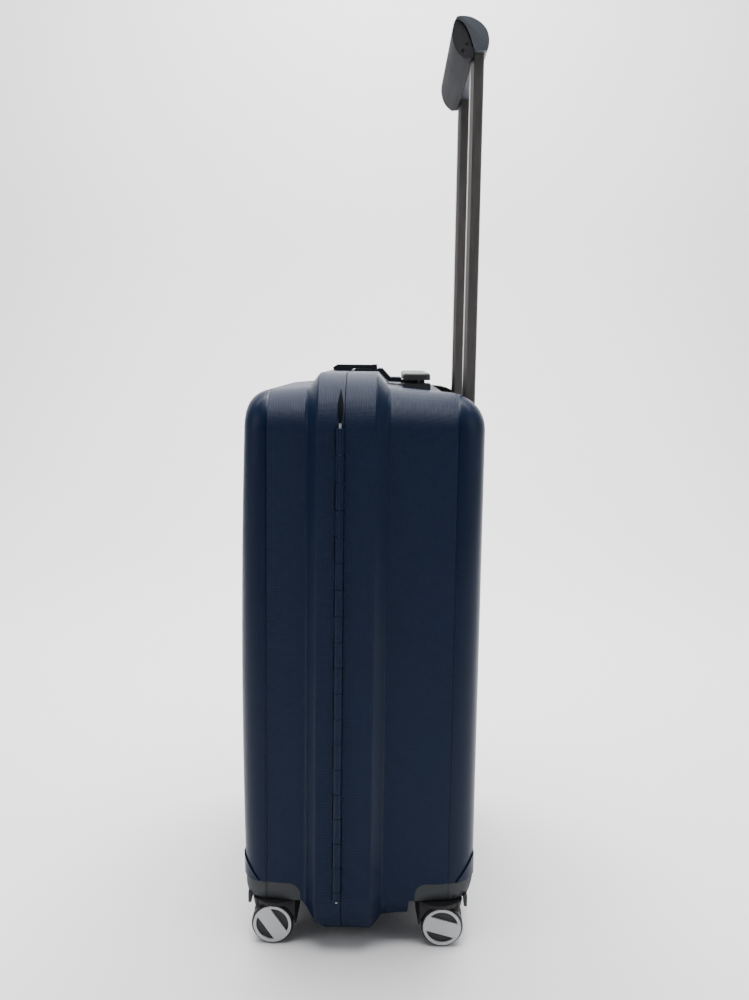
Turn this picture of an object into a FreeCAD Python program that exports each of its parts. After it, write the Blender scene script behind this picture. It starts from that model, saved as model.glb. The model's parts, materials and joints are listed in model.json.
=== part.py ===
import FreeCAD, Part
import Sketcher
import math
import os
import re

# Hard shell suitcase on four twin-wheel casters, telescopic handle pulled out.
# X is the width (the moulded hinge is on the +X side, the latches on the -X side), Y is the depth
# (the opening front shell towards -Y, the shell with the handle towards +Y), Z is up from the floor.

# Driving dimensions, millimetres and degrees
SIZES = {
    # shell envelope
    "ridge_half": 235,
    "ridge_low": 7,
    "ridge_high": 680,
    "ridge_corner": 65,
    "bevel_inset": 16,
    "wall": 2.5,
    "front_depth": 140,
    "front_crest": 50,
    "front_base": 62,
    "rear_depth": 140,
    "rear_crest": 15.6,
    "rear_base": 29,
    "wall_draft": 5,
    "face_round": 41,
    "front_round": 31,
    "crown_radius": 9000,
    "crest_round": 3,
    "base_round": 5,
    "front_edge": -19.4,
    "rear_edge": -18.6,
    "groove_at": 108,
    "groove_width": 2.4,
    "groove_depth": 1.0,
    "guard_proud": 1.6,
    "guard_run": 23,
    "guard_rise": 26,
    # moulded hinge
    "hinge_x": 235.5,
    "hinge_y": -24,
    "hinge_top": 621,
    "knuckle_length": 30,
    "knuckle_count": 18,
    "end_knuckle": 12,
    "knuckle_radius": 5,
    "knuckle_gap": 0.35,
    "pin_radius": 1.5,
    "pin_play": 0.06,
    "pin_top": 626,
    "pin_bottom": 66,
    # rim land and seal
    "land_inset": 10,
    "land_depth": 3.6,
    "seal_inset": 7.1,
    "seal_width": 2.4,
    "seal_reach": 5.4,
    "seal_root": 2.2,
    # casters
    "swivel_x": 195,
    "swivel_y": 97.5,
    "trail": 4,
    "wheel_radius": 25,
    "wheel_inner": 5.6,
    "wheel_outer": 19,
    "cap_radius": 22.6,
    "cap_proud": 1,
    "cap_depth": 2.4,
    "cap_rim": 3.2,
    "cap_bar": 18,
    "axle_radius": 3,
    "kingpin_radius": 4,
    "running_play": 0.08,
    "well_side": 157,
    "front_well_foot": 30,
    "front_well_head": 66,
    "rear_well_foot": 58,
    "rear_well_head": 61,
    "well_top": 57,
    "housing_top": 79,
    "housing_inner": 68,
    "housing_corner": 13,
    "housing_gap": 0.2,
    "housing_foot": 131.5,
    "housing_brow": 141,
    "housing_hollow": 14,
    "housing_floor": 4,
    "boss_radius": 11,
    "skirt_drop": 10.5,
    "skirt_thick": 3.6,
    "fork_top": 56.4,
    "fork_plan": 29.5,
    "fork_web": 10,
    "fork_hood_half": 18.6,
    "hood_gap": 1.6,
    # telescopic handle
    "tube_x": 105,
    "tube_y": 125,
    "tube_wide": 22,
    "tube_deep": 15,
    "tube_wall": 1.2,
    "tube_chamfer": 3.5,
    "tube_low": 530,
    "grip_low": 1036,
    "guide_wide": 26,
    "guide_deep": 19,
    "guide_low": 74,
    "guide_high": 605,
    "recess_half": 131,
    "recess_front": 89,
    "recess_floor": 608,
    "bezel_wall": 2.5,
    "bezel_floor": 5,
    "collar_high": 3.4,
    "grip_half": 126,
    "button_half": 24,
    "button_deep": 13,
    "button_top": 48.5,
    "grip_floor": 14,
    "grip_ceiling": 33,
    "stow_travel": 418,
    "rod_radius": 2,
    # carry handles
    "handle_y": 62,
    "handle_deep": 33,
    "handle_half": 118,
    "pedestal_inner": 78,
    "pedestal_high": 6,
    "strap_gap": 4,
    "strap_thick": 8.5,
    "leg_x": 99,
    "leg_radius": 3.5,
    "leg_depth": 20,
    "leg_head": 7,
    "wall_at_handle": 661.2,
    "side_wall_at_handle": 216.2,
    "side_handle_z": 345,
    # latches
    "lever_pin_radius": 1.2,
    "lever_axis_y": 9.4,
    "latch_pin_radius": 0.8,
    "latch_axis_y": 9.2,
    # lining and what it holds
    "lining": 1.2,
    "lining_gap": 1.2,
    "front_lip": -33,
    "rear_lip": -12,
    "trolley_bay": 107,
    "front_tray_round": 24,
    "rear_tray_round": 36,
    "front_tray_back": 131.5,
    "rear_tray_back": 133.5,
}

doc = FreeCAD.newDocument("suitcase")
sheet = doc.addObject("Spreadsheet::Sheet", "sizes")
for row, (alias, number) in enumerate(SIZES.items(), start=1):
    sheet.set(f"A{row}", alias)
    sheet.set(f"B{row}", str(number))
    sheet.setAlias(f"B{row}", alias)
workings = doc.addObject("Spreadsheet::Sheet", "workings")
doc.recompute()

PARTS = []
X_AXIS = FreeCAD.Rotation(FreeCAD.Vector(0, 1, 0), 90)
Y_AXIS = FreeCAD.Rotation(FreeCAD.Vector(1, 0, 0), -90)
Z_AXIS = FreeCAD.Rotation()
TURNS = {"X": X_AXIS, "Y": Y_AXIS, "Z": Z_AXIS}


def ex(formula):
    """An expression on the sheet, from a formula that names sizes by their alias."""
    def cell(match):
        word = match.group(0)
        return f"sizes.{word}" if word in SIZES else word
    return re.sub(r"[a-z][a-z_]*", cell, str(formula))


def value(formula):
    """The number that a formula of sizes gives, worked out on a sheet that nothing depends on."""
    workings.set("A1", f"={ex(formula)}")
    workings.recompute()
    number = workings.get("A1")
    return float(getattr(number, "Value", number))


def bind(obj, **formulas):
    for name, formula in formulas.items():
        obj.setExpression(name.replace("__", "."), ex(formula))


def keep(obj, label):
    """Marks a finished sub-part; its Label names its file."""
    obj.Label = label
    PARTS.append(obj)
    return obj


# ---------------------------------------------------------------- primitives and booleans
def at(obj, x, y, z, turn=Z_AXIS):
    obj.Placement = FreeCAD.Placement(FreeCAD.Vector(), turn)
    bind(obj, Placement__Base__x=x, Placement__Base__y=y, Placement__Base__z=z)
    return obj


def box(name, xs, ys, zs):
    """A box between two formulas along each axis."""
    obj = doc.addObject("Part::Box", name)
    bind(obj, Length=f"({xs[1]}) - ({xs[0]})", Width=f"({ys[1]}) - ({ys[0]})",
         Height=f"({zs[1]}) - ({zs[0]})")
    return at(obj, xs[0], ys[0], zs[0])


def cylinder(name, radius, length, base, axis="Z"):
    obj = doc.addObject("Part::Cylinder", name)
    bind(obj, Radius=radius, Height=length)
    return at(obj, *base, TURNS[axis])


def fuse(name, *shapes):
    obj = doc.addObject("Part::MultiFuse", name)
    obj.Shapes = list(shapes)
    return obj


def common(name, *shapes):
    obj = doc.addObject("Part::MultiCommon", name)
    obj.Shapes = list(shapes)
    return obj


def cut(name, base, *tools):
    obj = doc.addObject("Part::Cut", name)
    obj.Base = base
    obj.Tool = tools[0] if len(tools) == 1 else fuse(f"{name}_tools", *tools)
    return obj


def mirrored(name, source, normal):
    obj = doc.addObject("Part::Mirroring", name)
    obj.Source = source
    obj.Normal = FreeCAD.Vector(*normal)
    return obj


# ---------------------------------------------------------------- sketches
def new_sketch(body, name, plane, offset="0"):
    sketch = body.newObject("Sketcher::SketchObject", name)
    support = next(f for f in body.Origin.OriginFeatures if f.Role == plane)
    sketch.AttachmentSupport = [(support, "")]
    sketch.MapMode = "FlatFace"
    sketch.setExpression("AttachmentOffset.Base.z", ex(offset))
    return sketch


def dimension(sketch, kind, *args, formula):
    """Adds a dimension and binds it to the sheet."""
    index = sketch.addConstraint(Sketcher.Constraint(kind, *args, value(formula)))
    sketch.setExpression(f"Constraints[{index}]", ex(formula))


def outline(sketch, corners):
    """A closed polygon whose corners are pairs of formulas."""
    points = [FreeCAD.Vector(value(x), value(y), 0) for x, y in corners]
    first = sketch.GeometryCount
    for i, point in enumerate(points):
        sketch.addGeometry(Part.LineSegment(point, points[(i + 1) % len(points)]))
    for i in range(len(points)):
        following = first + (i + 1) % len(points)
        sketch.addConstraint(Sketcher.Constraint("Coincident", first + i, 2, following, 1))
    for i, (x, y) in enumerate(corners):
        dimension(sketch, "DistanceX", -1, 1, first + i, 1, formula=x)
        dimension(sketch, "DistanceY", -1, 1, first + i, 1, formula=y)


def rounded_rectangle(sketch, half, low, high, radius):
    """A rectangle centred across the sketch, with four equal corner arcs."""
    h, lo, hi, r = value(half), value(low), value(high), value(radius)
    first = sketch.GeometryCount
    runs = [((-h + r, lo), (h - r, lo)), ((h, lo + r), (h, hi - r)),
            ((h - r, hi), (-h + r, hi)), ((-h, hi - r), (-h, lo + r))]
    centres = [(h - r, lo + r), (h - r, hi - r), (-h + r, hi - r), (-h + r, lo + r)]
    for start, end in runs:
        sketch.addGeometry(Part.LineSegment(FreeCAD.Vector(*start, 0), FreeCAD.Vector(*end, 0)))
    up = FreeCAD.Vector(0, 0, 1)
    for quarter, centre in enumerate(centres):
        circle = Part.Circle(FreeCAD.Vector(*centre, 0), up, r)
        begin = (quarter - 1) * math.pi / 2
        sketch.addGeometry(Part.ArcOfCircle(circle, begin, begin + math.pi / 2))
    for i in range(4):
        sketch.addConstraint(Sketcher.Constraint("Tangent", first + i, 2, first + 4 + i, 1))
        sketch.addConstraint(Sketcher.Constraint("Tangent", first + 4 + i, 2, first + (i + 1) % 4, 1))
    for i, kind in enumerate(("Horizontal", "Vertical", "Horizontal", "Vertical")):
        sketch.addConstraint(Sketcher.Constraint(kind, first + i))
    for i in (5, 6, 7):
        sketch.addConstraint(Sketcher.Constraint("Equal", first + 4, first + i))
    dimension(sketch, "Radius", first + 4, formula=radius)
    dimension(sketch, "DistanceX", -1, 1, first + 1, 1, formula=half)
    dimension(sketch, "DistanceX", first + 3, 1, -1, 1, formula=half)
    dimension(sketch, "DistanceY", -1, 1, first, 1, formula=low)
    dimension(sketch, "DistanceY", -1, 1, first + 2, 1, formula=high)


def circle(sketch, x, y, radius):
    index = sketch.addGeometry(
        Part.Circle(FreeCAD.Vector(value(x), value(y), 0), FreeCAD.Vector(0, 0, 1), value(radius))
    )
    dimension(sketch, "DistanceX", -1, 1, index, 3, formula=x)
    dimension(sketch, "DistanceY", -1, 1, index, 3, formula=y)
    dimension(sketch, "Radius", index, formula=radius)


# ---------------------------------------------------------------- PartDesign features
def new_body(name):
    return doc.addObject("PartDesign::Body", name)


def pad(body, sketch, length, reverse=False, taper=None, centred=False):
    feature = body.newObject("PartDesign::Pad", f"{sketch.Name}_pad")
    feature.Profile = sketch
    feature.Reversed = reverse
    feature.Midplane = centred
    bind(feature, Length=length)
    if taper is not None:
        bind(feature, TaperAngle=taper)
    doc.recompute()
    return feature


def pocket(body, sketch, length=None, reverse=False, centred=False):
    """Removes a sketch's area, through everything when no length is given."""
    before = body.Shape.Volume
    feature = body.newObject("PartDesign::Pocket", f"{sketch.Name}_pocket")
    feature.Profile = sketch
    feature.Reversed = reverse
    feature.Midplane = centred
    if length is None:
        feature.Type = "ThroughAll"
    else:
        bind(feature, Length=length)
    doc.recompute()
    if body.Shape.Volume > before - 0.01:
        raise RuntimeError(f"{feature.Name} removes nothing")
    return feature


def edge_names(feature, chosen):
    return [f"Edge{i}" for i, edge in enumerate(feature.Shape.Edges, start=1) if chosen(edge)]


def dress(body, kind, name, edges, size):
    """A fillet or chamfer on named edges of the body's tip."""
    if not edges:
        raise RuntimeError(f"{name} found no edges")
    feature = body.newObject(f"PartDesign::{kind}", name)
    feature.Base = (body.Tip, edges) if body.Tip is not feature else (feature.BaseFeature, edges)
    bind(feature, **{"Radius" if kind == "Fillet" else "Size": size})
    doc.recompute()
    return feature


def prism(name, plane, corners, start, length, reverse=False, centred=False):
    """A body padded from one polygon."""
    body = new_body(name)
    sketch = new_sketch(body, f"{name}_outline", plane, start)
    outline(sketch, corners)
    pad(body, sketch, length, reverse, centred=centred)
    return body


def near(number, target, tolerance=0.05):
    return abs(number - target) < tolerance


def lies_at_y(edge, y):
    box_of = edge.BoundBox
    return near(box_of.YMin, y) and near(box_of.YMax, y)


# ---------------------------------------------------------------- shells
def shell_form(name, side, inset, smooth):
    """The closed outer form of one shell, or its cavity when inset is a formula above zero.

    The ridge runs from the seam to its crest, a bevel drops to the wall, and the wall drafts
    in to the rounded face. The front face is slightly crowned."""
    rear = side == "rear"
    sign = 1 if rear else -1
    shift = f"({inset}) / 2"
    seam = "rear_edge" if rear else "front_edge"
    crest = "rear_crest" if rear else "0 - front_crest"
    base = "rear_base" if rear else "0 - front_base"
    face = f"{side}_depth - ({inset})"
    body = new_body(name)

    # the sketch normal points to -Y, so an offset is minus the Y position
    ridge = new_sketch(body, f"{name}_ridge", "XZ_Plane", f"0 - ({seam})")
    rounded_rectangle(ridge, f"ridge_half - ({inset})", f"ridge_low + ({inset})",
                      f"ridge_high - ({inset})", f"ridge_corner - ({inset})")
    pad(body, ridge, f"{sign} * (({crest}) - ({seam})) - {shift}", rear)

    bevel = new_sketch(body, f"{name}_bevel", "XZ_Plane", f"0 - ({crest}) + {sign} * {shift}")
    rounded_rectangle(bevel, f"ridge_half - ({inset})", f"ridge_low + ({inset})",
                      f"ridge_high - ({inset})", f"ridge_corner - ({inset})")
    run = f"abs(({base}) - ({crest}))"
    pad(body, bevel, run, rear, taper=f"-1 * atan(bevel_inset / ({run}))")

    wall = new_sketch(body, f"{name}_wall", "XZ_Plane", f"0 - ({base}) + {sign} * {shift}")
    rounded_rectangle(wall, f"ridge_half - bevel_inset - ({inset})", f"ridge_low + bevel_inset + ({inset})",
                      f"ridge_high - bevel_inset - ({inset})", f"ridge_corner - bevel_inset - ({inset})")
    pad(body, wall, f"{face} - {sign} * ({base}) + {shift}", rear, taper="-1 * wall_draft")
    if not rear:
        crown(body, name, face)
    outer_face = min(body.Shape.Faces, key=lambda f: -sign * f.CenterOfMass.y)
    rounding = f"{'face_round' if rear else 'front_round'} - ({inset})"
    rim = edge_names(body, lambda e: any(e.isSame(other) for other in outer_face.Edges))
    dress(body, "Fillet", f"{name}_face_round", rim, rounding)
    if smooth:
        band_groove(body, name, sign, base)
        crest_y = value(crest)
        base_y = value(base)
        dress(body, "Fillet", f"{name}_crest_round",
              edge_names(body, lambda e: lies_at_y(e, crest_y)), "crest_round")
        dress(body, "Fillet", f"{name}_base_round",
              edge_names(body, lambda e: lies_at_y(e, base_y)), "base_round")
    return body


def crown(body, name, face):
    """Trims the front face to a large radius about a line across the case."""
    sketch = new_sketch(body, f"{name}_crown", "YZ_Plane")
    radius = value("crown_radius")
    middle = "(ridge_low + ridge_high) / 2"
    centre_y = f"crown_radius - ({face})"
    reach = 360
    drop = math.sqrt(radius ** 2 - reach ** 2)
    far = -value(face) - 40
    mid = value(middle)
    centre = FreeCAD.Vector(value(centre_y), mid, 0)
    half_angle = math.asin(reach / radius)
    arc = Part.ArcOfCircle(Part.Circle(centre, FreeCAD.Vector(0, 0, 1), radius),
                           math.pi - half_angle, math.pi + half_angle)
    upper = FreeCAD.Vector(centre.x - drop, mid + reach, 0)
    lower = FreeCAD.Vector(centre.x - drop, mid - reach, 0)
    sketch.addGeometry(arc)
    for start, end in ((lower, FreeCAD.Vector(far, lower.y, 0)),
                       (FreeCAD.Vector(far, lower.y, 0), FreeCAD.Vector(far, upper.y, 0)),
                       (FreeCAD.Vector(far, upper.y, 0), upper)):
        sketch.addGeometry(Part.LineSegment(start, end))
    for first, point, second, other in ((0, 2, 1, 1), (1, 2, 2, 1), (2, 2, 3, 1), (3, 2, 0, 1)):
        sketch.addConstraint(Sketcher.Constraint("Coincident", first, point, second, other))
    for kind, line in (("Horizontal", 1), ("Vertical", 2), ("Horizontal", 3)):
        sketch.addConstraint(Sketcher.Constraint(kind, line))
    dimension(sketch, "Radius", 0, formula="crown_radius")
    dimension(sketch, "DistanceX", -1, 1, 0, 3, formula=centre_y)
    dimension(sketch, "DistanceY", -1, 1, 0, 3, formula=middle)
    dimension(sketch, "DistanceY", -1, 1, 1, 1, formula=f"{middle} - {reach}")
    dimension(sketch, "DistanceY", -1, 1, 3, 1, formula=f"{middle} + {reach}")
    dimension(sketch, "DistanceX", -1, 1, 2, 1, formula=f"0 - ({face}) - 40")
    pocket(body, sketch, centred=True)


def band_groove(body, name, sign, base):
    """A shallow groove round the walls, where the textured panel meets the smooth edge band."""
    sketch = new_sketch(body, f"{name}_groove", "XZ_Plane", f"0 - ({sign} * groove_at - groove_width / 2)")
    drop = f"bevel_inset + abs({sign} * groove_at - ({base})) * tan(wall_draft * 1 deg) + groove_depth"
    rounded_rectangle(sketch, f"ridge_half - ({drop})", f"ridge_low + ({drop})",
                      f"ridge_high - ({drop})", f"ridge_corner - ({drop})")
    outline(sketch, [("0 - ridge_half", "0 - 20"), ("ridge_half", "0 - 20"),
                     ("ridge_half", "ridge_high + 20"), ("0 - ridge_half", "ridge_high + 20")])
    pocket(body, sketch, "groove_width")


def corner_void(name, side, grow):
    """The space that one caster and its housing take out of a shell, on the hinge side."""
    sign = 1 if side == "rear" else -1
    top = f"housing_top + housing_gap + {grow}"
    step = f"well_top + housing_gap + {grow}"
    inner = f"{sign} * (housing_inner - {grow})"
    lean = f"({side}_well_head - {side}_well_foot) / (well_top - ridge_low)"
    below = 17
    body = prism(name, "YZ_Plane", [
        (f"{sign} * ({side}_well_foot - {lean} * {below} - {grow})", f"ridge_low - {below}"),
        (f"{sign} * ({side}_well_head - {grow})", step),
        (inner, step),
        (inner, top),
        (f"{sign} * 160", top),
        (f"{sign} * 160", f"ridge_low - {below}"),
    ], f"well_side - {grow}", "100")
    round_top(body, name, value(top), value(inner), value(f"well_side - {grow}"), "housing_corner")
    return body


def round_top(body, name, top, inner_y, inner_x, radius):
    """Rounds the two inner edges of a corner block's top face."""
    def on_inner_edge(edge):
        bounds = edge.BoundBox
        if not (near(bounds.ZMin, top) and near(bounds.ZMax, top)):
            return False
        along_x = near(bounds.YMin, inner_y) and near(bounds.YMax, inner_y)
        along_y = near(bounds.XMin, inner_x) and near(bounds.XMax, inner_x)
        return along_x or along_y
    dress(body, "Fillet", f"{name}_top_round", edge_names(body, on_inner_edge), radius)


def recess_block(name, grow):
    """The pocket in the top of the rear shell that the handle's grip sinks into."""
    return box(name, (f"0 - recess_half - {grow}", f"recess_half + {grow}"),
               (f"recess_front - {grow}", "rear_depth + 20"), (f"recess_floor - {grow}", "ridge_high + 20"))


def tube_holes(name, extra, low, high):
    """Two openings for the sliding tubes."""
    holes = []
    for hand, sign in (("hinge", 1), ("latch", -1)):
        x, half_x, half_y = f"{sign} * tube_x", f"(tube_wide + {extra}) / 2", f"(tube_deep + {extra}) / 2"
        holes.append(box(f"{name}_{hand}", (f"{x} - {half_x}", f"{x} + {half_x}"),
                         (f"tube_y - {half_y}", f"tube_y + {half_y}"), (low, high)))
    return holes


def bezel_screw_spots():
    return [(f"{sx} * 60", f"recess_front + {dy}") for sx in (-1, 1) for dy in (12, 38)]


def knuckles(name, kind):
    """The hinge knuckles of one shell: every other one along the seam, from the top."""
    shapes = []
    first = 0 if kind == "rear" else 1
    count = int(SIZES["knuckle_count"])
    for index in range(first, count, 2):
        low = f"hinge_top - {index + 1} * knuckle_length + knuckle_gap"
        shapes.append(cylinder(f"{name}_{index}", "knuckle_radius", "knuckle_length - 2 * knuckle_gap",
                               ("hinge_x", "hinge_y", low)))
    if kind == "rear":
        low = "hinge_top - knuckle_count * knuckle_length - end_knuckle"
        shapes.append(cylinder(f"{name}_end", "knuckle_radius", "end_knuckle - knuckle_gap",
                               ("hinge_x", "hinge_y", low)))
    return shapes


def knuckle_spans(kind, gap):
    """The heights that one shell's knuckles take up, as pairs of formulas."""
    spans = []
    for index in range(0 if kind == "rear" else 1, int(SIZES["knuckle_count"]), 2):
        spans.append((f"hinge_top - {index + 1} * knuckle_length + {gap}",
                      f"hinge_top - {index} * knuckle_length - {gap}"))
    low = "hinge_top - knuckle_count * knuckle_length"
    spans.append((f"{low} - end_knuckle + {gap}", f"{low} - {gap}"))
    return spans


def pin_bore(name):
    return cylinder(name, "pin_radius + pin_play", "pin_top - pin_bottom + 10",
                    ("hinge_x", "hinge_y", "pin_bottom - 5"))


def corner_pair(name, side, grow):
    right = corner_void(name, side, grow)
    return [right, mirrored(f"{name}_latch", right, (1, 0, 0))]


def corner_guards(side):
    """Facets that stand a little proud of the shell above the two caster housings, for X both ways."""
    sign = 1 if side == "rear" else -1
    form = shell_form(f"{side}_guard_form", side, "0 - guard_proud", False)
    foot = "housing_top + housing_gap"
    wedge = prism(f"{side}_guard_wedge", "YZ_Plane", [
        (f"{sign} * ({side}_depth - guard_run)", foot), (f"{sign} * {side}_depth", foot),
        (f"{sign} * {side}_depth", f"{foot} + guard_rise"),
    ], "well_side + 3", "100")
    right = common(f"{side}_guard", form, wedge)
    return [right, mirrored(f"{side}_guard_latch", right, (1, 0, 0))]


def build_front_shell(outer):
    cavity = shell_form("front_cavity", "front", "wall", False)
    air = cut("front_air", cavity, *corner_pair("front_corner_grown", "front", "wall"))
    notches = [box(f"front_notch_{i}", ("hinge_x - 6", "hinge_x + 8"),
                   ("hinge_y - 5.7", "rear_edge + 1"), span)
               for i, span in enumerate(knuckle_spans("rear", "0"))]
    guarded = fuse("front_guarded", outer, *corner_guards("front"))
    body = cut("front_hollow", guarded, air, *corner_pair("front_corner", "front", "0"), *notches)
    joined = fuse("front_joined", body, *knuckles("front_knuckle", "front"))
    return keep(cut("front_shell", joined, pin_bore("front_pin_bore")), "front_shell")


def rim_ring(name, start, length, outer_inset, inner_inset):
    """A closed frame that follows the ridge outline, extruded towards -Y."""
    body = new_body(name)
    sketch = new_sketch(body, f"{name}_outline", "XZ_Plane", f"0 - ({start})")
    for inset in (outer_inset, inner_inset):
        rounded_rectangle(sketch, f"ridge_half - ({inset})", f"ridge_low + ({inset})",
                          f"ridge_high - ({inset})", f"ridge_corner - ({inset})")
    pad(body, sketch, length)
    return body


def handle_leg_holes(name):
    """Holes in the rear shell for the legs of the two carry handles."""
    radius = "leg_radius + 0.4"
    holes = []
    for sign in (-1, 1):
        holes.append(cylinder(f"{name}_top_{sign + 1}", radius, "60",
                              (f"{sign} * leg_x", "handle_y", "wall_at_handle - 20")))
        side_end = ("0 - side_wall_at_handle - 40", "handle_y", f"side_handle_z + {sign} * leg_x")
        holes.append(cylinder(f"{name}_side_{sign + 1}", radius, "60", side_end, "X"))
    return holes


def build_rear_shell(outer):
    cavity = shell_form("rear_cavity", "rear", "wall", False)
    air = cut("rear_air", cavity, recess_block("recess_grown", "wall"),
              *corner_pair("rear_corner_grown", "rear", "wall"))
    screw_holes = [cylinder(f"screw_hole_{i}", "1.7", "14", (x, y, "recess_floor - 9"))
                   for i, (x, y) in enumerate(bezel_screw_spots())]
    guarded = fuse("rear_guarded", outer, *corner_guards("rear"))
    body = cut("rear_hollow", guarded, air, recess_block("recess", "housing_gap"),
               *corner_pair("rear_corner", "rear", "0"), *tube_holes("shell_tube_hole", "2", "600", "612"),
               *handle_leg_holes("leg_hole"), *screw_holes)
    land = rim_ring("rim_land", "rear_edge + land_depth", "land_depth", "wall - 0.1", "land_inset")
    webs = [box(f"web_{i}", ("hinge_x - knuckle_radius + 0.2", "hinge_x"),
                ("hinge_y", "rear_edge + 1"), span)
            for i, span in enumerate(knuckle_spans("rear", "knuckle_gap"))]
    joined = fuse("rear_joined", body, land, *knuckles("rear_knuckle", "rear"), *webs)
    seat = rim_ring("seal_seat", "rear_edge + seal_root", "10",
                    "seal_inset - 0.05", "seal_inset + seal_width + 0.05")
    return keep(cut("rear_shell", joined, pin_bore("rear_pin_bore"), seat), "rear_shell")


def build_seam():
    keep(cylinder("hinge_pin_rod", "pin_radius", "pin_top - pin_bottom",
                  ("hinge_x", "hinge_y", "pin_bottom")), "hinge_pin")
    keep(rim_ring("seal", "rear_edge + seal_root", "seal_reach + seal_root",
                  "seal_inset", "seal_inset + seal_width"), "rim_seal")


# ---------------------------------------------------------------- casters
def build_housing(label, side, sx, outer):
    """The grey corner shoe that carries one caster's kingpin."""
    sign = 1 if side == "rear" else -1
    block = prism(f"{label}_block", "YZ_Plane", [
        (f"{sign} * housing_inner", "well_top"),
        (f"{sign} * housing_inner", "housing_top"),
        (f"{sign} * housing_brow", "housing_top"),
        (f"{sign} * housing_foot", "well_top"),
    ], "well_side + housing_gap", "100")
    round_top(block, label, value("housing_top"), sign * value("housing_inner"),
              value("well_side + housing_gap"), "housing_corner")
    skin = common(f"{label}_skin", outer, block)
    edge = f"{sign} * housing_foot"
    inner_edge = f"{sign} * (housing_foot - skirt_thick)"
    skirt_y = (inner_edge, edge) if sign > 0 else (edge, inner_edge)
    skirt = box(f"{label}_skirt", ("well_side + 8", "swivel_x + 9"), skirt_y,
                ("well_top - skirt_drop", "well_top + 3"))
    hollow_y = ("housing_inner + housing_hollow", "housing_foot - 16")
    if sign < 0:
        hollow_y = ("16 - housing_foot", "0 - housing_inner - housing_hollow")
    hollow = box(f"{label}_hollow", ("well_side + housing_hollow", "swivel_x + 13.5"), hollow_y,
                 ("well_top + housing_floor", "housing_top + 1"))
    centre = ("swivel_x", f"{sign} * swivel_y", "well_top - 1")
    boss = cylinder(f"{label}_boss", "boss_radius", "40", centre)
    bore = cylinder(f"{label}_bore", "kingpin_radius + 0.02", "20.6", centre)
    well = cut(f"{label}_well", hollow, boss)
    shape = cut(f"{label}_shape", fuse(f"{label}_body", skin, skirt), well, bore)
    if sx < 0:
        shape = mirrored(f"{label}_mirror", shape, (1, 0, 0))
    return keep(shape, label)


def caster_frame(body, sx, sy):
    """Puts a piece drawn about its swivel axis in place; its wheels trail away from the case."""
    turn = FreeCAD.Rotation(FreeCAD.Vector(0, 0, 1), 0 if sy < 0 else 180)
    return at(body, f"{sx} * swivel_x", f"{sy} * swivel_y", "0", turn)


def build_fork(label, sx, sy):
    block = prism(f"{label}_block", "YZ_Plane", [
        ("29.3", "fork_top"), ("28", "44"), ("24.6", "27"), ("19", "23"), ("5", "15"), ("0 - 11", "15"),
        ("0 - 15", "24"), ("0 - 24", "46"), ("0 - 28", "fork_top"),
    ], "0", "2 * fork_hood_half", centred=True)
    table = cylinder(f"{label}_table", "fork_plan - 1.5", "4.4", ("0", "0", "fork_top - 4.4"))
    plan = cylinder(f"{label}_plan", "fork_plan", "80", ("0", "0", "0"))
    rooms = [cylinder(f"{label}_room_{i}", "wheel_radius + hood_gap", "30",
                      (start, "0 - trail", "wheel_radius"), "X")
             for i, start in enumerate(("fork_web / 2", "0 - fork_web / 2 - 30"))]
    bore = cylinder(f"{label}_bore", "kingpin_radius + running_play", "20", ("0", "0", "fork_top - 8.6"))
    axle_hole = cylinder(f"{label}_axle_hole", "axle_radius + 0.02", "40",
                         ("-20", "0 - trail", "wheel_radius"), "X")
    shape = cut(f"{label}_shape", common(f"{label}_trim", fuse(f"{label}_raw", block, table), plan),
                *rooms, bore, axle_hole)
    caster_frame(shape, sx, sy)
    return keep(shape, label)


def build_axle(label, sx, sy):
    rod = cylinder(f"{label}_rod", "axle_radius", "2 * (wheel_outer - cap_depth) + 0.8",
                   ("0 - wheel_outer + cap_depth - 0.4", "0 - trail", "wheel_radius"), "X")
    shape = fuse(f"{label}_shape", rod, cylinder(f"{label}_core", "axle_radius", "2",
                                                 ("-1", "0 - trail", "wheel_radius"), "X"))
    caster_frame(shape, sx, sy)
    return keep(shape, label)


def wheel_placement(obj, sx, sy, hand, roll=0):
    """Wheels are drawn about X with their outer face towards +X."""
    turn = FreeCAD.Rotation(FreeCAD.Vector(0, 0, 1), 0 if hand > 0 else 180)
    spin = FreeCAD.Rotation(FreeCAD.Vector(1, 0, 0), roll if hand > 0 else -roll)
    return at(obj, f"{sx} * swivel_x", f"{sy} * (swivel_y + trail)", "wheel_radius", turn.multiply(spin))


def build_wheel(label, sx, sy, hand):
    body = new_body(f"{label}_body")
    sketch = new_sketch(body, f"{label}_section", "XY_Plane")
    outline(sketch, [
        ("wheel_inner", "axle_radius + running_play"),
        ("wheel_inner", "wheel_radius - 2"),
        ("wheel_inner + 2", "wheel_radius"),
        ("wheel_outer - 2", "wheel_radius"),
        ("wheel_outer", "wheel_radius - 1.6"),
        ("wheel_outer", "cap_radius + 0.15"),
        ("wheel_outer - cap_depth + cap_proud - 0.1", "cap_radius + 0.15"),
        ("wheel_outer - cap_depth + cap_proud - 0.1", "axle_radius + running_play"),
    ])
    turned = body.newObject("PartDesign::Revolution", f"{label}_turned")
    turned.Profile = sketch
    turned.ReferenceAxis = (sketch, ["H_Axis"])
    doc.recompute()
    wheel_placement(body, sx, sy, hand)
    return keep(body, label)


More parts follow.
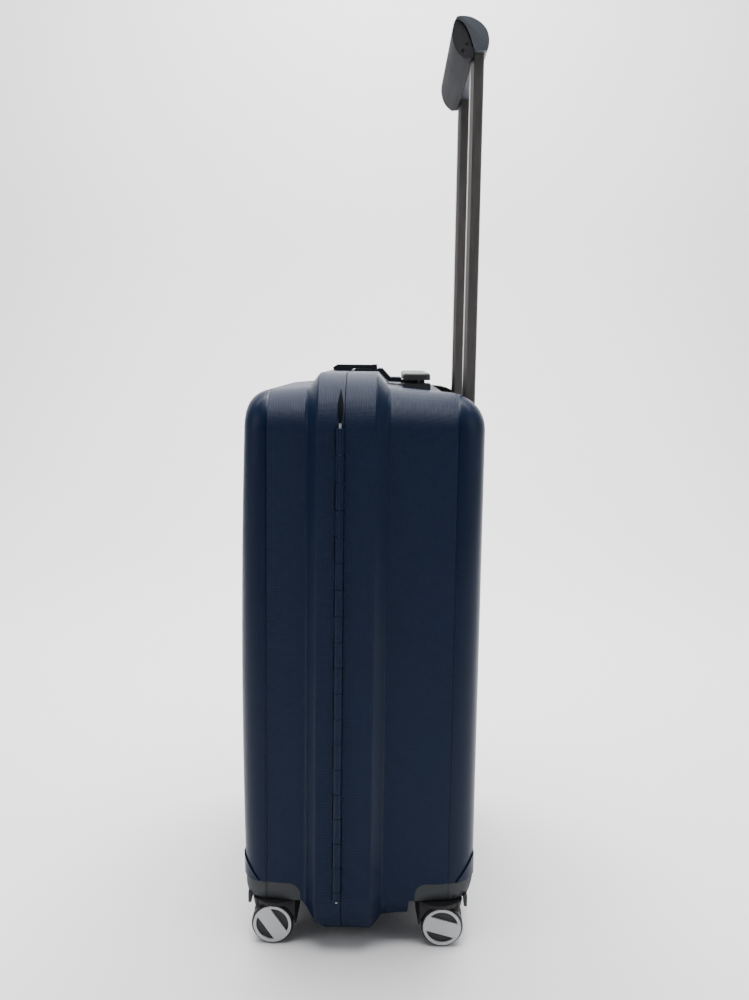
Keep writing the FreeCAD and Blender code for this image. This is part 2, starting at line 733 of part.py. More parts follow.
def build_cap(label, sx, sy, hand, roll):
    """The hub cap: a rim and a broad bar, with two open segments beside it."""
    base = ("wheel_outer - cap_depth + cap_proud", "0", "0")
    disc = cylinder(f"{label}_disc", "cap_radius", "cap_depth", base, "X")
    inner = cylinder(f"{label}_inner", "cap_radius - cap_rim", "cap_depth", base, "X")
    bar = box(f"{label}_bar", ("wheel_outer - 10", "wheel_outer + 10"),
              ("0 - cap_radius - 1", "cap_radius + 1"), ("0 - cap_bar / 2", "cap_bar / 2"))
    shape = cut(f"{label}_shape", disc, cut(f"{label}_segments", inner, bar))
    wheel_placement(shape, sx, sy, hand, roll)
    return keep(shape, label)


def build_kingpins(label, sy):
    pins = [cylinder(f"{label}_{i}", "kingpin_radius", "25",
                     (f"{sx} * swivel_x", f"{sy} * swivel_y", "fork_top - 8.2"))
            for i, sx in enumerate((-1, 1))]
    return keep(compound(label, *pins), label)


def compound(name, *shapes):
    obj = doc.addObject("Part::Compound", f"{name}_group")
    obj.Links = list(shapes)
    return obj


def build_casters(front_outer, rear_outer):
    cap_roll = {"front": -55, "rear": -15}
    for side, sy, outer in (("front", -1, front_outer), ("rear", 1, rear_outer)):
        build_kingpins(f"{side}_kingpins", sy)
        for hand_name, sx in (("hinge_side", 1), ("latch_side", -1)):
            corner = f"{side}_{hand_name}"
            build_housing(f"caster_housing_{corner}", side, sx, outer)
            build_fork(f"caster_fork_{corner}", sx, sy)
            build_axle(f"caster_axle_{corner}", sx, sy)
            for place, hand in (("outer", sx), ("inner", -sx)):
                build_wheel(f"wheel_{corner}_{place}", sx, sy, hand)
                build_cap(f"hub_cap_{corner}_{place}", sx, sy, hand, cap_roll[side])


# ---------------------------------------------------------------- telescopic handle
def tube_pair(label, section, pocket_section, low, high, holes):
    """Two hollow upright tubes, one each side."""
    tubes = []
    for hand, sign in (("hinge", 1), ("latch", -1)):
        body = new_body(f"{label}_{hand}")
        skin = new_sketch(body, f"{label}_{hand}_skin", "XY_Plane", low)
        outline(skin, [(f"{sign} * tube_x + {x}", f"tube_y + {y}") for x, y in section])
        pad(body, skin, f"({high}) - ({low})")
        core = new_sketch(body, f"{label}_{hand}_core", "XY_Plane", low)
        outline(core, [(f"{sign} * tube_x + {x}", f"tube_y + {y}") for x, y in pocket_section])
        pocket(body, core, reverse=True)
        tubes.append(cut(f"{label}_{hand}_drilled", body, *[
            cylinder(f"{label}_{hand}_hole_{i}", radius, "12",
                     (f"{sign} * tube_x - (1 - {sign}) * 6 + {sign} * 5", "tube_y", height), "X")
            for i, (radius, height) in enumerate(holes)]))
    return keep(compound(label, *tubes), label)


def chamfered(half_x, half_y, front_cut, back_cut):
    """Eight corners of a tube section with bevelled corners, as formulas about its centre."""
    return [(f"({half_x} - {back_cut})", f"({half_y})"), (f"(0 - {half_x} + {back_cut})", f"({half_y})"),
            (f"(0 - {half_x})", f"({half_y} - {back_cut})"),
            (f"(0 - {half_x})", f"(0 - {half_y} + {front_cut})"),
            (f"(0 - {half_x} + {front_cut})", f"(0 - {half_y})"),
            (f"({half_x} - {front_cut})", f"(0 - {half_y})"),
            (f"({half_x})", f"(0 - {half_y} + {front_cut})"), (f"({half_x})", f"({half_y} - {back_cut})")]


def build_tubes():
    tube_pair("sliding_tubes", chamfered("tube_wide / 2", "tube_deep / 2", "tube_chamfer", "1.2"),
              chamfered("(tube_wide / 2 - tube_wall)", "(tube_deep / 2 - tube_wall)",
                        "(tube_chamfer - 0.6)", "0.8"),
              "tube_low", "grip_low + grip_floor", [("2.7", "tube_low + 20")])
    tube_pair("guide_tubes", chamfered("guide_wide / 2", "guide_deep / 2", "1.5", "1.5"),
              chamfered("(tube_wide / 2 + 0.8)", "(tube_deep / 2 + 0.8)", "0.5", "0.5"),
              "guide_low", "guide_high", [("3", "tube_low + 20"), ("3", "tube_low + 20 - stow_travel")])


def build_trolley_base():
    block = box("base_block", ("0 - tube_x - 15", "tube_x + 15"), ("tube_y - 11.2", "tube_y + 10.6"),
                ("guide_low - 12", "guide_low + 12"))
    sockets = [box(f"base_socket_{i}",
                   (f"{s} * tube_x - guide_wide / 2 - 0.1", f"{s} * tube_x + guide_wide / 2 + 0.1"),
                   ("tube_y - guide_deep / 2 - 0.1", "tube_y + guide_deep / 2 + 0.1"),
                   ("guide_low", "guide_low + 20"))
               for i, s in enumerate((-1, 1))]
    waist = box("base_waist", ("0 - tube_x + 26", "tube_x - 26"), ("tube_y - 20", "tube_y + 4"),
                ("guide_low - 6", "guide_low + 20"))
    keep(cut("trolley_base_shape", block, *sockets, waist), "trolley_base")


def build_bezel(rear_outer):
    below_top = box("bezel_reach", ("0 - ridge_half", "ridge_half"), ("0", "rear_depth + 20"),
                    ("0", "ridge_high - bevel_inset - 2.5"))
    skin = common("bezel_skin", rear_outer, recess_block("bezel_block", "0"), below_top)
    well = box("bezel_well", ("0 - recess_half + bezel_wall", "recess_half - bezel_wall"),
               ("recess_front + bezel_wall", "rear_depth + 20"),
               ("recess_floor + bezel_floor", "ridge_high + 20"))
    collars = [box(f"collar_{i}", (f"{s} * tube_x - 15", f"{s} * tube_x + 15"),
                   ("tube_y - 11.5", "tube_y + 11.5"),
                   ("recess_floor + bezel_floor - 1", "recess_floor + bezel_floor + collar_high"))
               for i, s in enumerate((-1, 1))]
    tray = fuse("bezel_tray", cut("bezel_pan", skin, well), *collars)
    screw_holes = [cylinder(f"bezel_hole_{i}", "1.7", "14", (x, y, "recess_floor - 5"))
                   for i, (x, y) in enumerate(bezel_screw_spots())]
    keep(cut("bezel_shape", tray, *tube_holes("bezel_hole", "0.8", "recess_floor - 5", "recess_floor + 20"),
             *screw_holes), "trolley_bezel")
    screws = []
    for i, (x, y) in enumerate(bezel_screw_spots()):
        head = cylinder(f"screw_head_{i}", "3.4", "1.8", (x, y, "recess_floor + bezel_floor + 0.02"))
        shank = cylinder(f"screw_shank_{i}", "1.6", "8", (x, y, "recess_floor + bezel_floor - 7"))
        screws.append(fuse(f"screw_{i}", head, shank))
    keep(compound("bezel_screws", *screws), "bezel_screws")


# the grip's end view: distances from the tube's centre line and heights above the grip's lowest point
GRIP_SECTION = [(-18.5, 0), (-26, 10.5), (-31, 22.5), (-30, 40), (-24.5, 45), (-10, 46),
                (4.5, 34.5), (11, 22.5), (12.5, 9), (10, 3.5)]


def build_grip():
    body = prism("grip_form", "YZ_Plane", [(f"tube_y + ({y})", f"grip_low + {z}") for y, z in GRIP_SECTION],
                 "0", "2 * grip_half", centred=True)
    half = value("grip_half")
    long_edges = edge_names(body, lambda e: near(abs(e.CenterOfMass.x), 0) and near(e.Length, 2 * half))
    dress(body, "Fillet", "grip_long_round", long_edges, "3.5")
    ends = edge_names(body, lambda e: near(abs(e.BoundBox.XMin), half) and near(e.BoundBox.XLength, 0))
    dress(body, "Fillet", "grip_end_round", ends, "3")
    hollow = box("grip_hollow", ("0 - tube_x - 9", "tube_x + 9"), ("tube_y - 20", "tube_y - 1"),
                 ("grip_low + grip_floor", "grip_low + grip_ceiling"))
    sockets = [box(f"grip_socket_{i}",
                   (f"{s} * tube_x - tube_wide / 2 - 0.1", f"{s} * tube_x + tube_wide / 2 + 0.1"),
                   ("tube_y - tube_deep / 2 - 0.1", "tube_y + tube_deep / 2 + 0.1"),
                   ("grip_low - 10", "grip_low + grip_floor + 0.1"))
               for i, s in enumerate((-1, 1))]
    rod_holes = [cylinder(f"grip_rod_hole_{i}", "rod_radius + 0.5", "8",
                          (f"{s} * tube_x", "tube_y - 4", "grip_low + grip_floor - 2"))
                 for i, s in enumerate((-1, 1))]
    slot = box("button_slot", ("0 - button_half - 0.4", "button_half + 0.4"),
               ("tube_y - 17.2 - button_deep / 2 - 0.4", "tube_y - 17.2 + button_deep / 2 + 0.4"),
               ("grip_low + 25", "grip_low + 60"))
    keep(cut("grip_shape", body, hollow, *sockets, *rod_holes, slot), "grip_body")


def build_button():
    stem = box("button_stem", ("0 - button_half", "button_half"),
               ("tube_y - 17.2 - button_deep / 2", "tube_y - 17.2 + button_deep / 2"),
               ("grip_low + 30", "grip_low + button_top"))
    beam = box("button_beam", ("0 - tube_x - 5", "tube_x + 5"), ("tube_y - 14", "tube_y - 2"),
               ("grip_low + 24", "grip_low + 31"))
    keep(fuse("button_shape", stem, beam), "grip_button")
    rods = [cylinder(f"rod_{i}", "rod_radius", "grip_low + 23.95 - tube_low - 21.5",
                     (f"{s} * tube_x", "tube_y - 4", "tube_low + 21.5")) for i, s in enumerate((-1, 1))]
    keep(compound("push_rods", *rods), "push_rods")


def build_spring():
    """A coil under the button's beam; its wire is swept along a helix."""
    radius, wire, height, turns = 3.6, 0.55, 8.4, 5
    helix = Part.makeHelix(height / turns, height, radius)
    start = FreeCAD.Vector(radius, 0, 0)
    ring = Part.Wire([Part.makeCircle(wire, start, FreeCAD.Vector(0, 1, 0))])
    coil = Part.Wire(helix).makePipeShell([ring], True, True)
    spring = doc.addObject("Part::Feature", "button_spring_coil")
    spring.Shape = coil
    foot = value("grip_low + grip_floor") + 0.75
    spring.Placement = FreeCAD.Placement(FreeCAD.Vector(0, value("tube_y") - 8, foot), FreeCAD.Rotation())
    keep(spring, "button_spring")


def build_lock_pins():
    """Pins at the foot of the sliding tubes; a slot in each takes the end of its push rod."""
    for label, s in (("lock_pin_hinge_side", 1), ("lock_pin_latch_side", -1)):
        block = box(f"{label}_block", ("0 - 6", "6.5"), ("0 - 4.7", "4.7"), ("0 - 4.2", "4.2"))
        slot = box(f"{label}_slot", ("0 - 2.4", "4.9"), ("0 - 6", "0 - 1.5"), ("0 - 3", "6"))
        tip = cylinder(f"{label}_tip", "2.4", "5.2", ("6.2", "0", "0"), "X")
        shape = cut(f"{label}_shape", fuse(f"{label}_raw", block, tip), slot)
        if s < 0:
            shape = mirrored(f"{label}_mirror", shape, (1, 0, 0))
        at(shape, f"{s} * tube_x", "tube_y", "tube_low + 20")
        keep(shape, label)


# ---------------------------------------------------------------- carry handles
def build_carry_handle(label, place, rear_outer):
    """A bar on two sprung legs over two pedestals; drawn lying along X with the wall at Z = 0."""
    deep = ("0 - handle_deep / 2", "handle_deep / 2")
    strap_low = "pedestal_high + strap_gap"
    body = new_body(f"{label}_strap")
    sketch = new_sketch(body, f"{label}_strap_outline", "XY_Plane", strap_low)
    outline(sketch, [("0 - handle_half", deep[0]), ("handle_half", deep[0]),
                     ("handle_half", deep[1]), ("0 - handle_half", deep[1])])
    pad(body, sketch, "strap_thick")
    upright = edge_names(body, lambda e: near(e.BoundBox.ZLength, value("strap_thick")))
    dress(body, "Fillet", f"{label}_corner_round", upright, "9")
    top = value(f"{strap_low} + strap_thick")
    upper = edge_names(body, lambda e: near(e.BoundBox.ZMin, top) and near(e.BoundBox.ZMax, top))
    dress(body, "Fillet", f"{label}_top_round", upper, "3.2")
    legs = []
    pedestals = []
    for i, s in enumerate((-1, 1)):
        legs.append(cylinder(f"{label}_leg_{i}", "leg_radius", f"leg_depth + {strap_low} + 1",
                             (f"{s} * leg_x", "0", "0 - leg_depth")))
        legs.append(cylinder(f"{label}_head_{i}", "leg_head", "3",
                             (f"{s} * leg_x", "0", "0 - leg_depth - 3")))
        near_x, far_x = (s * value("pedestal_inner"), s * value("handle_half"))
        xs = (str(min(near_x, far_x)), str(max(near_x, far_x)))
        block = box(f"{label}_pedestal_{i}", xs, deep, ("0 - 8", "pedestal_high"))
        hole = cylinder(f"{label}_hole_{i}", "leg_radius + 0.4", "40", (f"{s} * leg_x", "0", "0 - 20"))
        pedestals.append(cut(f"{label}_pedestal_cut_{i}", block, hole))
    grip = fuse(f"{label}_grip_shape", body, *legs)
    place(grip)
    keep(grip, f"{label}_grip")
    raised = compound(f"{label}_pedestals", *pedestals)
    place(raised)
    keep(cut(f"{label}_base_shape", raised, rear_outer), f"{label}_base")


def place_on_top(obj):
    at(obj, "0", "handle_y", "wall_at_handle")


def place_on_side(obj):
    at(obj, "0 - side_wall_at_handle", "handle_y", "side_handle_z",
       FreeCAD.Rotation(FreeCAD.Vector(0, 1, 0), -90))


# ---------------------------------------------------------------- latches and lock
def build_top_lock():
    plate = prism("lock_plate", "YZ_Plane", [
        ("0 - 16", "ridge_high + 0.25"), ("rear_crest + 0.3", "ridge_high + 0.25"),
        ("rear_base - 1", "ridge_high - bevel_inset + 3"), ("45", "ridge_high - bevel_inset + 2.5"),
        ("45", "ridge_high - 8"), ("30", "ridge_high - 7"), ("20", "ridge_high + 4"),
        ("13.8", "ridge_high + 4"), ("13.8", "ridge_high + 2.6"), ("0 - 16", "ridge_high + 2.6"),
    ], "0", "64", centred=True)
    keyway = cylinder("lock_keyway", "5.1", "40", ("18", "38", "ridge_high - 30"))
    knuckle_room = box("lever_room", ("0 - 24.6", "24.6"), ("0 - 17", "13.2"),
                       ("ridge_high + 2.4", "ridge_high + 10"))
    lugs = [box(f"lever_lug_{i}", (f"{s} * 26.4 - 1.6", f"{s} * 26.4 + 1.6"), ("6.2", "12.6"),
                ("ridge_high + 1", "ridge_high + 8.4")) for i, s in enumerate((-1, 1))]
    pin = cylinder("lever_pin", "lever_pin_radius", "55",
                   ("0 - 27.5", "lever_axis_y", "ridge_high + 5.6"), "X")
    base = cut("top_lock_base", plate, keyway, knuckle_room)
    keep(fuse("top_lock_shape", base, *lugs, pin), "top_lock_body")
    barrel = cylinder("barrel", "5", "ridge_high - 6.6 - (ridge_high - bevel_inset + 2.8)",
                      ("18", "38", "ridge_high - bevel_inset + 2.8"))
    slot = box("key_slot", ("14.5", "21.5"), ("37.4", "38.6"), ("ridge_high - 8.4", "ridge_high"))
    keep(cut("lock_cylinder_shape", barrel, slot), "lock_cylinder")
    plate = prism("top_lever", "YZ_Plane", [
        ("0 - 43", "ridge_high + 0.6"), ("0 - 21", "ridge_high + 0.6"), ("0 - 18", "ridge_high + 2.9"),
        ("9", "ridge_high + 2.9"), ("11.5", "ridge_high + 4"), ("12.3", "ridge_high + 5.6"),
        ("11.7", "ridge_high + 7.1"), ("9.5", "ridge_high + 8"), ("0 - 38", "ridge_high + 8"),
        ("0 - 44", "ridge_high + 4.5"),
    ], "0", "48", centred=True)
    bore = cylinder("lever_bore", "lever_pin_radius + pin_play", "60",
                    ("0 - 30", "lever_axis_y", "ridge_high + 5.6"), "X")
    keep(cut("top_lever_shape", plate, bore), "top_lock_lever")


SIDE_LATCHES = {"upper": "505", "lower": "175"}


def build_side_latches():
    """Two over-centre levers on the side away from the hinge, each on its own base plate."""
    bases = []
    for name, z in SIDE_LATCHES.items():
        plate = box(f"{name}_latch_plate", ("0 - ridge_half - 1.7", "0 - ridge_half - 0.2"),
                    ("0 - 17", "rear_crest - 1"), (f"{z} - 30", f"{z} + 30"))
        lugs = [box(f"{name}_latch_lug_{i}", ("0 - ridge_half - 5.3", "0 - ridge_half - 1"), ("7", "11.4"),
                    (f"{z} + {s} * 26.2 - 1.6", f"{z} + {s} * 26.2 + 1.6")) for i, s in enumerate((-1, 1))]
        pin = cylinder(f"{name}_latch_pin", "latch_pin_radius", "55",
                       ("0 - ridge_half - 4", "latch_axis_y", f"{z} - 27.5"))
        bases.append(fuse(f"{name}_latch_base", plate, *lugs, pin))
    keep(compound("side_latch_bases", *bases), "side_latch_bases")
    for name, z in SIDE_LATCHES.items():
        lever = prism(f"{name}_lever", "XY_Plane", [
            ("0 - ridge_half - 0.6", "0 - 43"), ("0 - ridge_half - 0.6", "0 - 21"),
            ("0 - ridge_half - 2.4", "0 - 18"), ("0 - ridge_half - 2.4", "9"),
            ("0 - ridge_half - 3", "10.6"), ("0 - ridge_half - 4", "11.1"),
            ("0 - ridge_half - 5", "10.5"), ("0 - ridge_half - 5.5", "9"),
            ("0 - ridge_half - 5.5", "0 - 38"), ("0 - ridge_half - 3.5", "0 - 44"),
        ], f"{z} - 24", "48")
        bore = cylinder(f"{name}_latch_bore", "latch_pin_radius + pin_play", "60",
                        ("0 - ridge_half - 4", "latch_axis_y", f"{z} - 30"))
        keep(cut(f"{name}_latch_shape", lever, bore), f"{name}_latch_lever")


# ---------------------------------------------------------------- inside
def tray(name, side, back, thickness):
    """A tray-shaped block inside the walls, open towards the seam once it is hollowed."""
    sign = 1 if side == "rear" else -1
    body = new_body(name)
    lip = f"{side}_lip"
    inset = f"bevel_inset + 10.3 + {thickness}"
    overshoot = "0" if thickness == "0" else "20"
    sketch = new_sketch(body, f"{name}_outline", "XZ_Plane", f"0 - ({lip}) + {sign} * {overshoot}")
    rounded_rectangle(sketch, f"ridge_half - ({inset})", f"ridge_low + ({inset})",
                      f"ridge_high - ({inset})", f"ridge_corner - ({inset})")
    pad(body, sketch, f"{back} - {thickness} - {sign} * {lip} + {overshoot}", side == "rear")
    edge_y = sign * (value(back) - value(thickness))
    edges = edge_names(body, lambda e: lies_at_y(e, edge_y))
    dress(body, "Fillet", f"{name}_round", edges, f"{side}_tray_round - {thickness}")
    return body


def lining_blocks(name, side, grow):
    blocks = corner_pair(f"{name}_corner", side, f"(wall + lining_gap + {grow})")
    if side == "rear":
        room = f"(wall + lining_gap + {grow})"
        blocks.append(recess_block(f"{name}_recess", room))
        blocks.append(box(f"{name}_bay", (f"0 - recess_half - {room}", f"recess_half + {room}"),
                          (f"trolley_bay - {grow}", "rear_depth"), ("0 - 20", "ridge_high")))
        blocks.append(box(f"{name}_top_legs", (f"0 - leg_x - 12 - {grow}", f"leg_x + 12 + {grow}"),
                          (f"handle_y - 12 - {grow}", f"handle_y + 12 + {grow}"),
                          (f"wall_at_handle - leg_depth - 8 - {grow}", "ridge_high")))
        side_end = f"0 - side_wall_at_handle + leg_depth + 8 + {grow}"
        blocks.append(box(f"{name}_side_legs", ("0 - ridge_half", side_end),
                          (f"handle_y - 12 - {grow}", f"handle_y + 12 + {grow}"),
                          (f"side_handle_z - leg_x - 12 - {grow}", f"side_handle_z + leg_x + 12 + {grow}")))
    return blocks


def build_lining(side):
    back = f"{side}_tray_back"
    hollow = cut(f"{side}_lining_air", tray(f"{side}_tray_inner", side, back, "lining"),
                 *lining_blocks(f"{side}_air", side, "lining"))
    flange = rim_ring(f"{side}_flange", f"{side}_lip + lining" if side == "rear" else f"{side}_lip",
                      "lining", "wall + 1.5", "bevel_inset + 11")
    solid = fuse(f"{side}_lining_solid", tray(f"{side}_tray", side, back, "0"), flange)
    shape = cut(f"{side}_lining_shape", solid, *lining_blocks(f"{side}_skin", side, "0"), hollow)
    keep(shape, f"{side}_lining")


def build_rear_straps():
    """Two upright elastic bands across the open side of the rear half."""
    bands = [box(f"rear_band_{i}", (f"{s} * 95 - 15", f"{s} * 95 + 15"), ("rear_lip + 3", "rear_lip + 4.3"),
                 ("ridge_low + bevel_inset + 12.2", "ridge_high - bevel_inset - 12.2"))
             for i, s in enumerate((-1, 1))]
    keep(compound("rear_packing_straps", *bands), "rear_packing_straps")


def build_straps():
    """Four webbing arms that cross the front half and meet in a square buckle."""
    middle = value("(ridge_low + ridge_high) / 2")
    reach_x, reach_z = 196, 240
    half_buckle = 26
    angle = math.degrees(math.atan2(reach_z, reach_x))
    length = math.hypot(reach_x, reach_z)
    arms = []
    for i, (sx, sz) in enumerate(((1, 1), (-1, 1), (-1, -1), (1, -1))):
        arm = doc.addObject("Part::Box", f"strap_arm_{i}")
        arm.Length, arm.Width, arm.Height = length - half_buckle - 4, 1.3, 25
        lean = {(1, 1): angle, (-1, 1): 180 - angle, (-1, -1): 180 + angle, (1, -1): -angle}[(sx, sz)]
        turn = FreeCAD.Rotation(FreeCAD.Vector(0, 1, 0), -lean)
        start = turn.multVec(FreeCAD.Vector(half_buckle + 2, 0, -12.5))
        arm.Placement = FreeCAD.Placement(FreeCAD.Vector(start.x, -40, middle + start.z), turn)
        arms.append(arm)
    keep(compound("front_packing_straps", *arms), "front_packing_straps")
    body = prism("buckle", "XZ_Plane", [(f"{x}", f"(ridge_low + ridge_high) / 2 + {z}") for x, z in (
        (-26, -14), (-14, -26), (14, -26), (26, -14), (26, 14), (14, 26), (-14, 26), (-26, 14))], "36.5", "5")
    keep(body, "strap_buckle")


# ---------------------------------------------------------------- the whole case
def check_and_write():
    doc.recompute()
    for obj in doc.Objects:
        if {"Invalid", "Error"} & set(obj.State):
            raise RuntimeError(f"{obj.Name}: {obj.State} {obj.getStatusString()}")
    os.makedirs("parts", exist_ok=True)
    for obj in PARTS:
        shape = obj.Shape
        if shape.isNull() or not shape.isValid() or shape.Volume <= 0:
            raise RuntimeError(f"{obj.Label} is not a valid solid")
        shape.exportStep(os.path.join("parts", f"{obj.Label}.step"))
        print(f"{obj.Label:42s} {len(shape.Solids):2d} solids {shape.Volume / 1000:9.2f} cm3")
    print(len(PARTS), "nodes")


def main():
    front_outer = shell_form("front_outer", "front", "0", True)
    rear_outer = shell_form("rear_outer", "rear", "0", True)
    build_front_shell(front_outer)
    build_rear_shell(rear_outer)
    build_seam()
    build_casters(front_outer, rear_outer)
    build_tubes()
    build_trolley_base()
    build_bezel(rear_outer)
    build_grip()
    build_button()
    build_spring()
    build_lock_pins()
    build_carry_handle("top_handle", place_on_top, rear_outer)
    build_carry_handle("side_handle", place_on_side, rear_outer)
    build_top_lock()
    build_side_latches()
    build_lining("front")
    build_lining("rear")
    build_rear_straps()
    build_straps()
    check_and_write()


main()
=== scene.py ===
"""Looks of the hard shell suitcase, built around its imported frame. Metres, Z up."""
import json
import math

import bmesh
import bpy
from mathutils import Euler, Matrix, Vector, noise


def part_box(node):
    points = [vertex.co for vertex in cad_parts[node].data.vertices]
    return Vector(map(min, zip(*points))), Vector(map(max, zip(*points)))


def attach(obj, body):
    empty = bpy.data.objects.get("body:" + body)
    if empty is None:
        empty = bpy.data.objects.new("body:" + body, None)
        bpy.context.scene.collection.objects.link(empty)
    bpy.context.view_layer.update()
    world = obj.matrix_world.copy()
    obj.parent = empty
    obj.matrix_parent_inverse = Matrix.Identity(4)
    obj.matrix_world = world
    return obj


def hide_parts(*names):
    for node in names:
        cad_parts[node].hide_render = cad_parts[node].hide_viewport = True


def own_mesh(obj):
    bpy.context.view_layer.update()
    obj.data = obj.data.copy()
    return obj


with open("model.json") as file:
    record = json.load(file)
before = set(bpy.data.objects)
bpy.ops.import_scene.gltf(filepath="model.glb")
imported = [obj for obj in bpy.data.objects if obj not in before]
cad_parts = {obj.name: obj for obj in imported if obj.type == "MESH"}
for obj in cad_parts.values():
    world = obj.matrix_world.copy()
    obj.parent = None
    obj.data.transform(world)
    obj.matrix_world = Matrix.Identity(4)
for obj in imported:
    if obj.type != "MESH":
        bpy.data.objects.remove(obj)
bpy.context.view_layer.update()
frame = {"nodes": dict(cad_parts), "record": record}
NODES = frame["nodes"]

# the camera stands off the hinge side, a little above the case
CAMERA_AT = (1.325, 0.028, 0.699)
CAMERA_PITCH = -8.18
CAMERA_YAW = 90.71
CAMERA_ROLL = 0.75
LENS = 36.0
SENSOR_WIDTH = 36.0

GROOVE_Y = 0.1078        # the grooves that part the smooth bands from the embossed panels
EMBOSS_FADE = (0.0016, 0.0002)    # the emboss fades out between these distances from a groove
CASE_MID_Z = 0.3435
PANEL_HALF_WIDTH = 0.17  # the embossed field on the front and back faces
PANEL_HALF_HEIGHT = 0.27
PANEL_FADE = 0.002       # over which that field's edge fades, to either side
PANEL_EMBOSS = 0.45      # strength of the emboss there, against 1 on the narrow sides
WEAVE_PITCH = 0.0019
WEAVE_DEPTH = 0.00042

CAP_SINK = 0.0008        # a hub cap's face this far in belongs to its black recess
CAP_RECESS_RADIUS = 0.0198

PAD_INSET = 0.0022       # the grip's dark pad ends this far inside its cover
GRIP_EDGE = 0.0011
BUTTON_STEM_DEPTH = 0.013
BUTTON_SLOT = (0.0488, 0.0138, 0.016)
BUTTON_SLOT_DROP = 0.002    # from the button's top to the middle of the cut
END_SCREWS = ((-0.0135, 0.0155), (-0.018, 0.0085))    # from the tubes' line and the grip's lowest point
SCREW_DISH = (0.0016, 0.0021, 0.0026)

LINING_GRID = 0.011
GRID_SHIFT = 0.00013     # keeps the cuts off the mesh's own corners
FOLD_DEPTH = 0.0042
LINING_LIP = 0.004       # the cloth lies flat this close to its mouth
LINING_LIP_FADE = 0.02

STRAP_THICK = 0.0012
STRAP_SPANS = 28
STRAP_SEW = 0.055        # share of the strap at each end that is sewn
STRAP_SEW_THICK = 1.5    # and how much thicker it is there
FRONT_STRAP_WIDTH = 0.024
REAR_STRAP_WIDTH = 0.029
FRONT_STRAP_ENDS = (0.0095, 0.008)    # the crossed bands stop short of the CAD straps' box
BUCKLE_SHARE = 0.082     # the crossed bands start this share of their reach from the buckle's middle
REAR_STRAP_IN = 0.015    # from the edge of the CAD straps' box to each band's middle
REAR_STRAP_END = 0.001

RIDGE_CORNER = 0.065     # outer corner radius of the ridge around the seam
# the mouth is a thin dark sheet laid on that corner: painted shade for the hollow above the hinge
MOUTH_START, MOUTH_END = 0.14, 0.82    # along that corner, in radians above the level
MOUTH_HALF = 0.0032
MOUTH_SHIFT = -0.0002
MOUTH_SPANS = 24
# how far each point of the mouth's section stands off the corner, and its share of the half width
MOUTH_SECTION = ((-0.0004, -1), (0.0002, -1), (0.0003, -0.55), (0.0003, 0.55), (0.0002, 1), (-0.0004, 1))

WORLD_STRENGTH = 0.22
FLOOR_FRONT, FLOOR_BACK = 4.0, -1.6
FLOOR_HALF_WIDTH = 6.0
SWEEP_RADIUS = 1.2       # where the floor turns up into the backdrop
SWEEP_STEPS = 12
BACKDROP_TOP = 5.0


# ---------------------------------------------------------------- shader helpers
class Graph:
    """A material's node tree, with short calls for the nodes it needs."""

    def __init__(self, name):
        self.material = bpy.data.materials.new(name)
        self.material.use_nodes = True
        self.tree = self.material.node_tree
        self.shader = self.tree.nodes["Principled BSDF"]
        self.place = self.tree.nodes.new("ShaderNodeTexCoord").outputs["Object"]
        self.normal = self.tree.nodes.new("ShaderNodeNewGeometry").outputs["Normal"]

    def node(self, kind, **settings):
        made = self.tree.nodes.new(kind)
        for key, value in settings.items():
            setattr(made, key, value)
        return made

    def feed(self, socket, value):
        if isinstance(value, bpy.types.NodeSocket):
            self.tree.links.new(value, socket)
        else:
            socket.default_value = value

    def math(self, operation, *values):
        made = self.node("ShaderNodeMath", operation=operation)
        for socket, value in zip(made.inputs, values):
            self.feed(socket, value)
        return made.outputs[0]

    def xyz(self, vector=None):
        made = self.node("ShaderNodeSeparateXYZ")
        self.feed(made.inputs[0], self.place if vector is None else vector)
        return made.outputs[0], made.outputs[1], made.outputs[2]

    def scaled(self, factors):
        made = self.node("ShaderNodeVectorMath", operation="MULTIPLY")
        self.feed(made.inputs[0], self.place)
        made.inputs[1].default_value = factors
        return made.outputs[0]

    def noise(self, scale, detail=3.0, stretch=(1, 1, 1), roughness=0.5):
        made = self.node("ShaderNodeTexNoise")
        self.feed(made.inputs["Vector"], self.scaled(stretch))
        made.inputs["Scale"].default_value = scale
        made.inputs["Detail"].default_value = detail
        made.inputs["Roughness"].default_value = roughness
        return made.outputs["Fac"]

    def step(self, value, low, high, out_low=0.0, out_high=1.0):
        made = self.node("ShaderNodeMapRange", interpolation_type="SMOOTHSTEP")
        for key, number in (("Value", value), ("From Min", low), ("From Max", high),
                            ("To Min", out_low), ("To Max", out_high)):
            self.feed(made.inputs[key], number)
        return made.outputs[0]

    def mix(self, factor, a, b):
        made = self.node("ShaderNodeMix", data_type="RGBA")
        self.feed(made.inputs["Factor"], factor)
        for socket, colour in ((made.inputs[6], a), (made.inputs[7], b)):
            self.feed(socket, colour if isinstance(colour, bpy.types.NodeSocket) else (*colour, 1.0))
        return made.outputs[2]

    def bump(self, height, distance, strength, base=None):
        made = self.node("ShaderNodeBump")
        made.inputs["Distance"].default_value = distance
        self.feed(made.inputs["Strength"], strength)
        self.feed(made.inputs["Height"], height)
        if base is not None:
            self.feed(made.inputs["Normal"], base)
        return made.outputs[0]

    def set(self, **inputs):
        for key, value in inputs.items():
            name = key.replace("_", " ").title().replace("Ior", "IOR")
            socket = self.shader.inputs[name]
            if name == "Base Color" and isinstance(value, tuple):
                value = (*value, 1.0)
            self.feed(socket, value)
        return self.material


